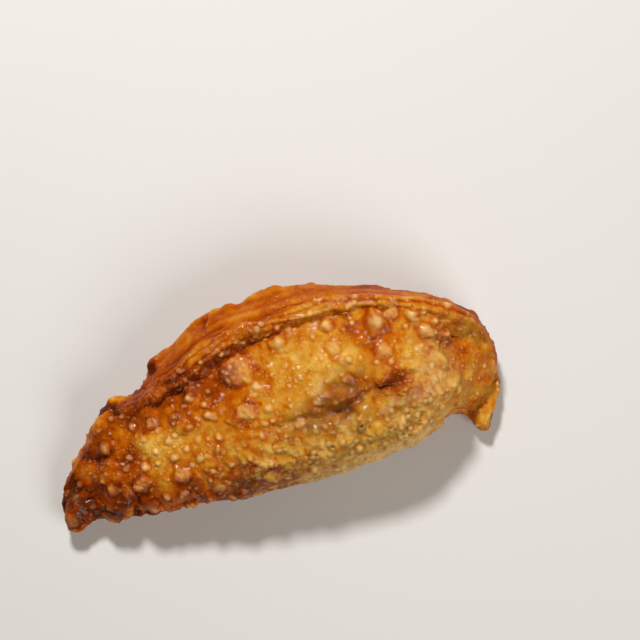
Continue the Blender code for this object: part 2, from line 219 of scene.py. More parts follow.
# Each is how beaded a line is, then its rows of x, y, rise and half width. A minus rise is a crease.
lines = {
    "cord": (0, (
        (-55.5, -1.3, 0.3, 2), (-50.1, 1.3, 0.8, 2.1), (-44, 4.1, 1.2, 2.2), (-36.6, 9, 1.6, 2.4),
        (-30.5, 14.4, 1.6, 2.4), (-24.4, 19.5, 1.5, 2.3), (-16.6, 23.9, 1.3, 2.1), (-9.1, 26.2, 1.1, 2),
        (1.7, 29.5, 1, 2.2), (10.2, 33, 0.8, 2.3), (20.7, 35, 0.6, 2.3), (31.2, 35.7, 0.6, 2.2),
        (41.4, 35.2, 0.5, 2), (49.2, 33.7, 0.5, 2), (56.6, 31.8, 0.4, 1.9), (63.1, 28.7, 0.3, 1.8),
        (67.8, 24.5, 0.2, 1.8), (70.9, 19.3, 0.1, 1.8),
    )),
    "crease": (0, (
        (-48.6, -1.4, -0.5, 1.2), (-41.5, 2.5, -1, 1.6), (-34.7, 5.7, -1.3, 1.8), (-28.5, 9.6, -1.5, 1.9),
        (-22.4, 14, -1.6, 1.9), (-14.9, 18.9, -1.5, 1.9), (-8.1, 22.9, -1.3, 1.8), (0, 25.8, -1.1, 1.6),
        (10.2, 28.7, -0.9, 1.4), (20.7, 31.6, -0.6, 1.3), (31.3, 33.1, -0.5, 1.2), (41.5, 32.7, -0.4, 1.2),
        (49.3, 31.4, -0.3, 1.2), (56.8, 28.9, -0.2, 1.2), (61.9, 24.7, -0.1, 1.2),
    )),
    "lowerStrand": (0.45, (
        (-50.6, -0.9, 0.2, 0.9), (-45.9, 1.9, 0.6, 0.9), (-40.8, 5.3, 0.8, 0.9), (-34.3, 8.5, 0.8, 0.9),
        (-30.2, 11.9, 0.8, 0.9), (-24.6, 17.3, 0.8, 0.9), (-17, 22.3, 0.8, 0.9), (-9.4, 25.7, 0.7, 0.8),
        (-1.7, 27, 0.5, 0.8), (4.1, 28.3, 0.1, 0.8),
    )),
    "upperStrand": (0.25, (
        (-52.7, 1.3, 0.2, 0.8), (-48.7, 3.7, 0.6, 0.8), (-44.6, 6.3, 0.7, 0.8), (-40.5, 9, 0.8, 0.8),
        (-36.8, 11.8, 0.8, 0.8), (-31.4, 16.3, 0.8, 0.8), (-24.5, 21.5, 0.8, 0.8), (-16.2, 25.2, 0.8, 0.8),
        (-9.3, 27.3, 0.8, 0.8), (3.1, 29.5, 0.7, 0.8), (10.4, 31.3, 0.6, 0.8), (20.7, 33.7, 0.6, 0.8),
        (31.2, 34.5, 0.5, 0.8), (41.5, 33.8, 0.4, 0.8), (49.3, 32.6, 0.3, 0.8), (56.6, 30.6, 0.1, 0.8),
    )),
    "middleStrand": (0.35, (
        (-46.6, 3.3, 0.1, 0.7), (-42.2, 6.5, 0.5, 0.7), (-36.6, 10, 0.6, 0.7), (-31.6, 13.9, 0.6, 0.7),
        (-25, 19.2, 0.6, 0.7), (-17.2, 23.6, 0.6, 0.7), (-9.8, 26.1, 0.5, 0.7), (-2, 28, 0.1, 0.7),
    )),
    "farStrand": (0.15, (
        (-4.7, 30.3, 0.1, 0.9), (0.4, 31.6, 0.6, 1.1), (10.4, 34.8, 0.7, 1.1), (18, 36.1, 0.7, 1),
        (26, 36.7, 0.7, 1), (39, 36.2, 0.6, 0.9), (51.9, 34.6, 0.5, 0.9), (61.3, 31.8, 0.4, 0.9),
        (66.9, 28.9, 0.3, 0.9), (71.1, 24.8, 0.1, 0.8),
    )),
    "thirdStrand": (0.2, (
        (-44, 8.4, 0.1, 0.9), (-40.8, 11.4, 0.5, 1), (-34.7, 15.6, 0.6, 1), (-28.9, 20.4, 0.6, 0.9),
        (-23.1, 24.8, 0.5, 0.9), (-16.3, 28.2, 0.1, 0.8),
    )),
    "bandFold": (0.1, (
        (-37.2, 16.4, 0, 0.8), (-33.8, 19.8, 0.5, 0.9), (-30.4, 22.7, 0.5, 0.9), (-27.3, 25.6, 0, 0.8),
    )),
    "lobeEdge": (0, (
        (-23.2, 32.9, 0.4, 0.8), (-25.2, 30.5, 0.9, 0.7), (-26.1, 27.8, 0.9, 0.7), (-25.4, 24.9, 0.2, 0.8),
    )),
    "lobeShade": (0, (
        (-25.2, 33, -0.4, 0.8), (-26.9, 30.6, -0.9, 0.8), (-27.8, 27.9, -0.9, 0.8), (-27.2, 25, -0.2, 0.8),
    )),
    "leftLip": (0.1, (
        (-45.6, 11.6, 0.2, 0.8), (-43.6, 15.8, 0.8, 0.8), (-40, 19.4, 0.8, 0.7), (-35.3, 24.1, 0.8, 0.7),
        (-31, 27.7, 0.8, 0.7), (-26.9, 30.6, 0.3, 0.7),
    )),
    "notch": (0, ((-46.4, 10.2, -0.6, 0.9), (-45.4, 12.4, -1.4, 1.1), (-44.2, 14.6, -0.4, 0.9))),
    "rightLip": (0.1, (
        (-19.2, 33.4, 0.2, 0.8), (-14.5, 34.9, 0.6, 0.7), (-11.4, 36.7, 0.7, 0.7), (-8.3, 38.8, 0.7, 0.7),
        (-3.5, 39.7, 0.6, 0.7), (6, 40.3, 0.4, 0.7), (16, 40.6, 0.1, 0.7),
    )),
    "dent": (0, (
        (14.3, -2.6, -0.8, 2.8), (23.4, -0.6, -2.5, 2.6), (31.2, 5.6, -2.2, 2.4), (38.2, 7.5, -2.3, 2.8),
        (45.5, 10.6, -0.8, 2.4),
    )),
    "dentCrumple": (0.8, (
        (21.4, -0.8, -0.2, 0.9), (23.8, 1.6, -0.6, 1), (26.2, 3.6, -0.6, 1), (27.6, 5.7, -0.2, 0.8),
    )),
    "dentPocket": (0.3, (
        (31.2, 6, -0.2, 1.4), (35.7, 6.4, -0.5, 1.5), (40, 7.6, -0.5, 1.5), (44.2, 10.2, -0.2, 1.2),
    )),
    "dentLip": (0.4, (
        (31.5, 11.4, 0.1, 0.9), (36, 12.4, 0.6, 0.9), (40.6, 12.9, 0.8, 0.9), (45.4, 12.8, 0.3, 0.9),
    )),
    "dentRidge": (0.7, (
        (33.6, 4, 0.3, 1), (37.8, 4.4, 1, 1.1), (41.6, 5.8, 1.2, 1.1), (44.8, 8.2, 0.6, 1),
    )),
    "shade": (0, ((8.2, 0.7, -0.6, 3.8), (17, 5, -1.8, 4.2), (23.8, 7.3, -2, 3.8), (29.9, 9.3, -1, 2.8))),
    "lowCrease": (0, (
        (0, -6.9, -0.8, 2.4), (8.5, -5, -2.2, 2.2), (15.6, -3.2, -2.5, 2), (22.1, -1.6, -1.6, 1.8),
    )),
    "leftCrease": (0, ((-13, -8.6, -0.4, 1.4), (-2, -7.8, -0.9, 1.4), (6.7, -5.3, -0.4, 1.4))),
    "lowFold": (0, ((31.4, -5.5, -0.2, 2.4), (39.3, -3.1, -0.8, 2.6), (47.9, 0.3, -0.3, 2.4))),
    "tipCrease": (0, ((-72, -32, -1, 2.4), (-67, -34, -2.8, 2.4), (-62, -36, -1.4, 2.4))),
    "frontNotch": (0, ((-52.6, -29.5, -1, 1.8), (-51.8, -34, -2.4, 1.8), (-51.4, -38.5, -2.2, 1.8))),
    "leftFoldA": (0, (
        (-70, -18, -0.3, 1.8), (-64.5, -20.6, -1.4, 2), (-59, -19.2, -1.2, 1.8), (-54.6, -21.6, -0.3, 1.6),
    )),
    "leftFoldB": (0, ((-75, -29.5, -0.4, 1.8), (-70, -32, -1.4, 2.2), (-64, -30.5, -0.4, 1.8))),
    "topSlit": (0.3, ((-60.4, -1, -0.4, 1), (-58.8, -3.4, -1, 1), (-56.8, -5, -0.3, 1))),
    "edgeFoldA": (0.3, (
        (18, -12.5, 0.2, 1.3), (28, -10.2, 0.9, 1.6), (38, -6.4, 0.8, 1.5), (47, -1.6, 0.2, 1.2),
    )),
    "edgeFoldB": (0.3, (
        (20, -18, 0.2, 1.2), (30, -14.8, 1, 1.5), (40, -10.6, 1, 1.4), (49, -5.4, 0.3, 1.2),
    )),
    "edgeFoldC": (0.3, (
        (-22, -26, 0.2, 1.4), (-10, -22, 0.9, 1.6), (2, -18.6, 0.9, 1.6), (13, -16.4, 0.2, 1.4),
    )),
    "rimFoldA": (0.4, ((50.5, 24.5, -0.4, 1), (52.5, 21, -1.8, 1.1), (55.5, 18.5, -0.4, 1))),
    "rimFoldB": (0.4, ((54, 21.5, -0.4, 0.9), (55.6, 17, -1.6, 1), (56, 12, -0.4, 0.9))),
    "rimFoldC": (0.3, ((53, 29.5, -0.4, 1), (57, 24.5, -1.2, 1.1), (62.5, 22, -0.4, 1))),
}

lineNoise = {
    "wanderSize": 6.0,
    "wander": 0.35,
    "fineWander": 0.15,  # for strands and lips
    "beadSize": 1.7,
    "gap": (1.05, 0.28),  # middle and width of the gap beside a strand, in half widths
}


def lineDistance(flat, curve, samples=130):
    # Distance in plan to a smooth curve, and how far along it the nearest sample is. Between two
    # samples the part of the offset that runs along the curve is taken out: sqrt(d^2 - slide^2).
    share = np.linspace(0.0, 1.0, samples)
    line = along(curve, share)
    tangent = np.gradient(line, axis=0)
    tangent /= np.linalg.norm(tangent, axis=1)[:, None]
    gap, where = np.full(len(flat), 99.0), np.zeros(len(flat))
    low, high = line.min(axis=0) - 9.0, line.max(axis=0) + 9.0
    close = np.flatnonzero(((flat > low) & (flat < high)).all(axis=1))
    for part in np.array_split(close, 8):
        nearest = ((flat[part, None, :] - line[None]) ** 2).sum(axis=2).argmin(axis=1)
        offset = flat[part] - line[nearest]
        slide = (offset * tangent[nearest]).sum(axis=1)
        slide *= (nearest > 0) & (nearest < samples - 1)
        gap[part] = np.sqrt(np.maximum((offset**2).sum(axis=1) - slide**2, 0.0))
        where[part] = share[nearest]
    return gap, where


def lineRows(name):
    # A line's course in plan, its rises and its half widths.
    rows = np.array(lines[name][1])
    return rows[:, :2], rows[:, 2], rows[:, 3]


def lineRelief(points, facingUp):
    # Rise = sum of rise along the line * profile(distance / half width) * (1 + beads * noise), on
    # the top only. Strands have a half-round profile, (1 - s^2)^0.6, and the rest bell(s). Marks,
    # 0 to 1, say where each line is, and where the gaps beside the strands are.
    wander = np.column_stack([ripple(points, lineNoise["wanderSize"], seed) for seed in (5, 6)])
    beads = np.clip(ripple(points, lineNoise["beadSize"], 8), -1.2, 1.2)
    gapAt, gapWidth = lineNoise["gap"]
    rise, beside, onStrand = (np.zeros(len(points)) for _ in range(3))
    marks = {}
    for name, (beaded, _) in lines.items():
        course, rises, halfWidths = lineRows(name)
        strand = name.endswith("Strand")
        fine = strand or "Lip" in name or name.startswith("lobe")
        shift = lineNoise["fineWander" if fine else "wander"] * wander
        gap, where = lineDistance(points[:, :2] + shift, course)
        here = along(rises, where)
        s = gap / along(halfWidths, where)
        shape = (np.clip(1.0 - s**2, 0.0, 1.0) ** 0.6 if strand else bell(s, 1.0)) * facingUp
        rise += here * shape * (1.0 + beaded * beads)
        marks[name] = np.clip(np.abs(here) / np.abs(rises).max(), 0.0, 1.0) * shape
        if strand:
            risen = smoothStep(0.1, 0.5, np.abs(here))
            beside = np.maximum(beside, bell(s - gapAt, gapWidth) * risen * facingUp)
            onStrand = np.maximum(onStrand, shape)
    marks["beside"] = beside * (1.0 - smoothStep(0.5, 0.9, onStrand))
    return rise, marks


# The steps down at the right: off the belly, and off the rim onto the corner of the lower sheet.
# Pairs run from outside a step's part to inside it. Bearings are degrees round the belly's centre,
# places are from 0 to 1 along the form.
ends = {
    "belly": {
        "centre": (40.5, 5.7), "radius": 16.0, "step": 6.5, "run": 6.0, "ragged": 0.5,
        "bearings": ((66.0, 42.0), (-75.0, -50.0)), "places": (0.92, 0.80), "cordBearings": (22.0, 50.0),
        "heights": (3.0, 16.0), "sectionLength": 90.0, "fromCord": (1.0, 7.0),
    },
    "rim": {
        "place": 0.796, "bow": 0.11, "run": 0.012, "ragged": 0.0012, "step": 4.8, "heights": (3.0, 12.0),
    },
}


def within(value, *edges):
    # Product of a smooth step for each pair of edges: 0 at the first of the pair, 1 at the second.
    return math.prod(smoothStep(*edge, value) for edge in edges)


def pastRim(points, place, across):
    # 0 on the rim and 1 past it, where the corner of the lower sheet shows. Its line bows outwards
    # by across * (1 - across).
    rim = ends["rim"]
    line = rim["place"] + rim["bow"] * across * (1.0 - across) + rim["ragged"] * ripple(points, 4.0, 7)
    return smoothStep(0.0, rim["run"], place - line)


def endDrop(points, place, turn, across):
    # Drop = step past the belly's end + step past the rim, each eased over its run, and over the
    # height so that nothing near the table moves. Towards the back the cord stands clear of the
    # first step, and at the right it comes down with it.
    end, rim = ends["belly"], ends["rim"]
    ragged = end["ragged"] * np.column_stack([ripple(points, 9.0, seed) for seed in (5, 6)])
    offset = points[:, :2] + ragged - end["centre"]
    reach = np.hypot(offset[:, 0], offset[:, 1])
    bearing = np.degrees(np.arctan2(offset[:, 1], offset[:, 0]))
    sector = within(bearing, *end["bearings"]) * within(place, end["places"])
    pastBelly = smoothStep(end["radius"], end["radius"] + end["run"], reach)
    fromSeam = np.abs(form["seamTurn"] - turn) * end["sectionLength"]
    inFront = within(fromSeam, end["fromCord"]) * (turn < form["seamTurn"])
    standing = within(bearing, end["cordBearings"]) * (1.0 - inFront)
    first = end["step"] * pastBelly * sector * (1.0 - standing) * within(points[:, 2], end["heights"])
    second = rim["step"] * pastRim(points, place, across) * within(points[:, 2] - first, rim["heights"])
    return first + second, pastBelly * sector


# blisters

# Blisters given one by one: x, y, radius, height.
blisters = {
    "dome": (
        (31.4, 28.3, 4.5, 3.2), (47.7, 25.6, 3.1, 2), (42.9, 31, 2.4, 1.9), (41.2, 27, 1.4, 1.2),
        (51.1, 28.7, 1.4, 1.3), (47.3, 31.7, 1.4, 1.2), (54.1, 24.6, 1.7, 1.5), (59.9, 26.3, 1.4, 1.3),
        (65.3, 24.6, 1.4, 1.2), (14.2, 27.3, 2.4, 1.9), (-1.7, 21.2, 3.1, 2.7), (-2.4, 26.6, 1.4, 1.3),
        (-13.9, 21.9, 1.4, 1.2), (-21.4, 17.4, 1.6, 1.5), (-28.2, 15, 1.4, 1.2), (-32.5, 2.4, 2.1, 2.1),
        (-26.9, 0.3, 1.7, 1.5), (-25.8, -3.2, 1.7, 1.3), (-3.9, -5.2, 1, 0.9), (-22.1, -11, 1.7, 1.1),
        (22, 15.5, 1.4, 1), (31.4, 14.8, 1.4, 1), (9.8, 23.2, 1.4, 1), (22.3, 29.7, 1, 0.9),
        (23, 28, 1, 0.8), (27.7, 9.4, 0.9, 0.8), (10.8, 1.2, 1.4, 1.2), (17.6, 1.2, 1.2, 1),
        (11.1, -8.6, 1.4, 1), (25.9, -14.5, 1.4, 1.1), (41.6, -1.8, 1.4, 1), (10.4, -22.1, 1.7, 1.4),
        (59.2, 5.3, 2.1, 1.6), (-62, -15.1, 2.9, 1.7), (-53.6, -18.4, 1.7, 1.4), (-47.7, -21.5, 2.1, 1.7),
        (-40.4, -31.5, 1.7, 1.5), (-43.6, -16, 1.4, 1.2), (-43.2, -20.1, 1.4, 1.1),
        (-52.5, -7.7, 1.7, 1.2), (-56, -4.2, 1.2, 1), (-59.9, -10.2, 1, 0.9), (-71.4, -28.3, 1.7, 1.7),
        (-59.2, -29.4, 2.8, 1.6), (-60.6, -39.5, 3.4, 2.8), (-45.3, -36, 3.4, 2.6),
        (-73.9, -40.9, 3.1, 1.8), (-39.4, -12.5, 1.7, 1.2), (-37.3, -10.4, 1.4, 1), (-33.2, -14.9, 1.4, 1),
        (-37.3, -18, 1.7, 1.2), (-17.9, -20.3, 1.4, 1), (-24.1, -22.1, 1.4, 1), (-32.5, -28.4, 1, 0.9),
        (-30.4, -28.4, 1, 0.9), (-28.6, -18.3, 1.7, 1),
    ),
    "open": (
        (-9.2, 24.3, 1.9, 1.1), (16.3, -13.8, 1.4, 0.9), (33.9, -14.1, 1.6, 1), (26.2, -6.9, 1.4, 1.1),
        (42.2, -2.4, 1.2, 0.8), (45.9, -5.4, 1.1, 0.7), (10.8, -16.8, 1.3, 0.8), (36.6, -11.2, 1, 0.7),
    ),
    "sunken": (
        (-15.9, 12, 6, 1.3), (21.6, 9, 2.1, 0.3), (5.6, -5.9, 2.4, 0.8), (-49.1, -27.7, 3.1, 1.9),
        (-44.9, -6.3, 2.1, 1.1), (-34.9, -23.9, 3.4, 1.3),
    ),
    "flat": (
        (-12.6, -2.1, 3.8, 0.8), (16.9, 19.5, 2.8, 0.6), (33.5, 18.8, 3.1, 0.8), (36.2, 31.7, 3.1, 1),
        (-22, -28.3, 2.4, 0.8), (-31.8, -34.3, 2.4, 1.4), (-18.2, -32.1, 1.9, 1.2),
    ),
    "hollow": (
        (-69.3, -35.7, 4.1, 1.4), (-52.2, -35.3, 2.1, 1),
    ),
}

# What each kind looks like across its middle, where s is the distance over the radius.
blisterShapes = {
    "dome": lambda s: 0.80 * np.clip(1.0 - (0.86 * s) ** 2, 0.0, 1.0) ** 1.9 - 0.05 * bell(s - 1.15, 0.22),
    "open": lambda s: bell(s - 0.75, 0.28) - 0.9 * bell(s, 0.42),
    "sunken": lambda s: 0.16 * bell(s - 0.74, 0.16)
    + 0.72 * smoothStep(1.10, 0.50, s)
    - 0.10 * bell(s - 1.15, 0.18),
    "flat": lambda s: smoothStep(1.08, 0.45, s) - 0.08 * bell(s - 1.15, 0.14),
    "hollow": lambda s: -bell(s, 0.65),
}

# How crinkled each kind is, its pale top as share, outer and inner radius, and how wide its hole is.
blisterLooks = {
    "dome": {"crinkle": 0.05, "top": (1.0, 0.85, 0.10)},
    "open": {"crinkle": 0.05, "top": (1.0, 0.85, 0.10), "hole": 0.5},
    "sunken": {"crinkle": 0.20, "top": (0.42, 1.0, 0.30)},
    "flat": {"crinkle": 0.20, "top": (0.42, 1.0, 0.30)},
    "hollow": {"crinkle": 0.05, "hole": 0.8},
}


def unevenOutline(points):
    # Distances from a blister's middle times 1 + soft noise, so that none is a true circle.
    return 1.0 + 0.10 * ripple(points, 5.0, 21) + 0.07 * ripple(points, 2.2, 22)


def footRing(s):
    # The browned ring round a blister, just outside its radius.
    return bell(s - 1.05, 0.22)


def namedBlisters(points, facingUp):
    # Rise = sum of height * shape(distance / radius). Lift marks the tops for the colour, foot the
    # browned ring round each, and hole the openings.
    rise, lift, foot, hole = (np.zeros(len(points)) for _ in range(4))
    wobble = unevenOutline(points)
    crinkles = np.clip(ripple(points, 1.8, 23), -1.5, 1.5)
    shown = np.flatnonzero(facingUp > form["topSlope"][0])
    for kind, items in blisters.items():
        look = blisterLooks[kind]
        for x, y, radius, height in items:
            nearest = shown[np.argmin(np.hypot(points[shown, 0] - x, points[shown, 1] - y))]
            centre = np.array([x, y, points[nearest, 2]])
            distance = np.linalg.norm(points - centre, axis=1)
            near = np.flatnonzero(distance < 2.2 * radius)
            s = distance[near] * wobble[near] / radius
            rise[near] += height * blisterShapes[kind](s) * (1.0 + look["crinkle"] * crinkles[near])
            if "hole" in look:
                hole[near] = np.maximum(hole[near], bell(s, look["hole"]))
            if "top" in look:
                share, outer, inner = look["top"]
                lift[near] = np.maximum(lift[near], share * smoothStep(outer, inner, s))
                foot[near] = np.maximum(foot[near], footRing(s) * min(1.0, radius / 2.0))
    return rise, lift, foot, hole


# Random blisters, from the largest to beads: at most one in each cell of a grid in space. The share
# of cells in use goes up or down by region.
scatter = {
    "corner": (-96.0, -64.0, -24.0),
    "extent": (192.0, 128.0, 80.0),
    "round": 1.5,
    "clusterSize": 15.0,
    "least": 0.55,  # share between clusters, and what a cluster adds
    "clustered": 0.9,
    "keepOff": 0.8,  # how far the small ones keep off the named ones
    "onNamed": 0.35,  # and what is left of them where those stand higher than namedFrom
    "namedFrom": 0.15,
    "top": 0.70,
    "foot": 0.6,
    "layers": (
        {"cell": 8.0, "radius": (2.6, 4.6), "height": 0.34, "seed": 11, "share": 0.75, "clusters": False,
         "by": {"band": -0.2, "smoothBelly": -0.25, "paleEnd": -0.9}},
        {"cell": 4.4, "radius": (1.2, 2.1), "height": 0.48, "seed": 12, "share": 0.36, "clusters": True,
         "by": {"left": -0.05, "lowerFront": 0.10, "band": -0.34, "smoothBelly": -0.26, "rim": -0.2,
                "paleEnd": -0.4}},
        {"cell": 2.8, "radius": (0.75, 1.25), "height": 0.62, "seed": 13, "share": 0.40, "clusters": True,
         "by": {"lowerFront": 0.14, "band": -0.36, "smoothBelly": -0.22, "rope": 0.2, "rim": -0.1}},
        {"cell": 1.8, "radius": (0.45, 0.75), "height": 0.72, "seed": 14, "share": 0.40, "clusters": True,
         "by": {"left": 0.45, "lowerFront": 0.32, "band": -0.32, "smoothBelly": -0.10, "rope": 0.5,
                "rim": 0.1}},
    ),
}


def oneLayer(points, wobble, layer, share):
    # Rise = height * radius * (1 - (d / radius)^2)^round for the blister that stands highest at a
    # point. One shrinks to nothing where its own random number comes up to the share.
    cell, corner = layer["cell"], np.array(scatter["corner"])
    size = np.ceil(np.array(scatter["extent"]) / cell).astype(int)
    rng = np.random.default_rng(layer["seed"])
    centres = rng.random((*size, 3))
    radii = rng.uniform(*layer["radius"], size)
    lot = rng.random(size)
    home = np.floor((points - corner) / cell).astype(int)
    rise, lift, foot = (np.zeros(len(points)) for _ in range(3))
    for step in np.ndindex(3, 3, 3):
        at = home + np.array(step) - 1
        index = tuple(at.T)
        used = smoothStep(0.0, 0.10, share - lot[index])
        centre = corner + (at + centres[index]) * cell
        s = np.linalg.norm(points - centre, axis=1) * wobble / radii[index]
        dome = np.clip(1.0 - s**2, 0.0, 1.0) ** scatter["round"]
        rise = np.maximum(rise, layer["height"] * radii[index] * dome * used)
        lift = np.maximum(lift, smoothStep(0.95, 0.2, s) * used)
        foot = np.maximum(foot, footRing(s) * used)
    return rise, lift, foot * (1.0 - lift)


def scatteredBlisters(points, region, lift, foot):
    # Rise = sum of the layers. All but the largest blisters gather in clusters, keep off the named
    # ones and add to the marks of tops and feet.
    clusters = smoothStep(-0.8, 0.9, ripple(points, scatter["clusterSize"], 17))
    crowd = scatter["least"] + scatter["clustered"] * clusters
    crowd = crowd * (1.0 - scatter["keepOff"] * smoothStep(0.2, 0.6, lift))
    rise, wobble = np.zeros(len(points)), unevenOutline(points)
    for layer in scatter["layers"]:
        share = layer["share"] + sum(amount * region[name] for name, amount in layer["by"].items())
        if layer["clusters"]:
            share = share * crowd
        dome, top, ring = oneLayer(points, wobble, layer, share)
        rise = rise + dome
        if layer["clusters"]:
            lift, foot = np.maximum(lift, scatter["top"] * top), np.maximum(foot, scatter["foot"] * ring)
    return rise, lift, foot


# Where each part of the crust lies. Pairs run from outside the part to inside it, in millimetres or
# in places and turns from 0 to 1. Ovals are the middle's x and y, then the reach in x and in y.
zones = {
    "drift": (3.0, 9.0),  # how far the ends of the front parts wander, and over what length
    "top": ((0.72, 0.58), (-0.02, 0.03)),
    "facing": ((0.70, 0.58), (0.96, 1.0)),
    "behind": (0.80, 0.66),
    "left": (-38.0, -58.0),
    "leftLean": 0.25,
    "lowerFront": {"depth": (27.0, 10.0), "span": ((-34.0, -6.0), (56.0, 49.0)), "height": (3.0, 12.0),
                   "least": 0.2},
    "paleEdge": {"depth": (7.0, 1.0), "span": ((-8.0, 18.0), (58.0, 48.0)), "height": (4.0, 13.0),
                 "least": 0.0},
    "bandGap": (1.6, 3.2),
    "band": ((0.16, 0.24), (0.86, 0.76)),
    "backSide": ((0.16, 0.24), (0.90, 0.76)),
    "besideCrease": (0.60, 0.34),
    "creaseReach": 5.0,
    "rope": (0.62, 0.30),
    "ropeReach": 3.2,
    "smoothBelly": (18.0, 17.0, 24.0, 9.0),
    "paleEnd": (50.5, 10.0, 5.5, 12.0),
    "crumple": (54.5, 25.0, 6.0, 7.0),
    "streakSize": 2.6,
    "streakStretch": 12.0,
}


def facing(turn):
    # 1 on the top of the section, from the front edge to the back edge, and 0 underneath.
    return sum(smoothStep(*edge, turn) for edge in zones["facing"])


def oval(points, name):
    # bell of the distance from the oval's middle, with each axis divided by its reach.
    middleX, middleY, reachX, reachY = zones[name]
    return bell(np.hypot((points[:, 0] - middleX) / reachX, (points[:, 1] - middleY) / reachY), 1.0)


def regions(points, place, turn, across):
    # How far a point belongs to each part of the crust, 0 to 1, and streaks: soft noise drawn out
    # along the cord.
    x, y, height = points.T
    drift = x + zones["drift"][0] * ripple(points, zones["drift"][1], 36)
    frontX, frontY = np.array(form["frontEdge"][1:15]).T
    fromFront = y - np.interp(x, frontX, frontY)
    top = within(turn, *zones["top"])
    gap, where = lineDistance(points[:, :2], lineRows("cord")[0])
    fromCrease, whereCrease = lineDistance(points[:, :2], lineRows("crease")[0])
    seam = form["seamTurn"]
    behind = smoothStep(seam - 0.02, seam + 0.02, turn) * within(turn, zones["behind"])
    stretched = np.column_stack([gap, zones["streakStretch"] * where, np.zeros_like(gap)])
    found = {
        "left": smoothStep(*zones["left"], x + zones["leftLean"] * y),
        "band": behind * within(gap, zones["bandGap"]) * within(place, *zones["band"]),
        "backSide": behind * within(place, *zones["backSide"]),
        "besideCrease": bell(fromCrease, zones["creaseReach"]) * within(whereCrease, zones["besideCrease"])
        * (turn < seam) * top,
        "rope": bell(gap, zones["ropeReach"]) * facing(turn) * within(where, zones["rope"]),
        "streaks": ripple(stretched, zones["streakSize"], 47),
        "tipPiece": pastRim(points, place, across),
    }
    for name in ("smoothBelly", "paleEnd", "crumple"):
        found[name] = oval(points, name) * top
    for name in ("lowerFront", "paleEdge"):
        zone = zones[name]
        found[name] = within(fromFront, zone["depth"]) * within(drift, *zone["span"])
        found[name] *= zone["least"] + (1.0 - zone["least"]) * within(height, zone["height"])
    return found
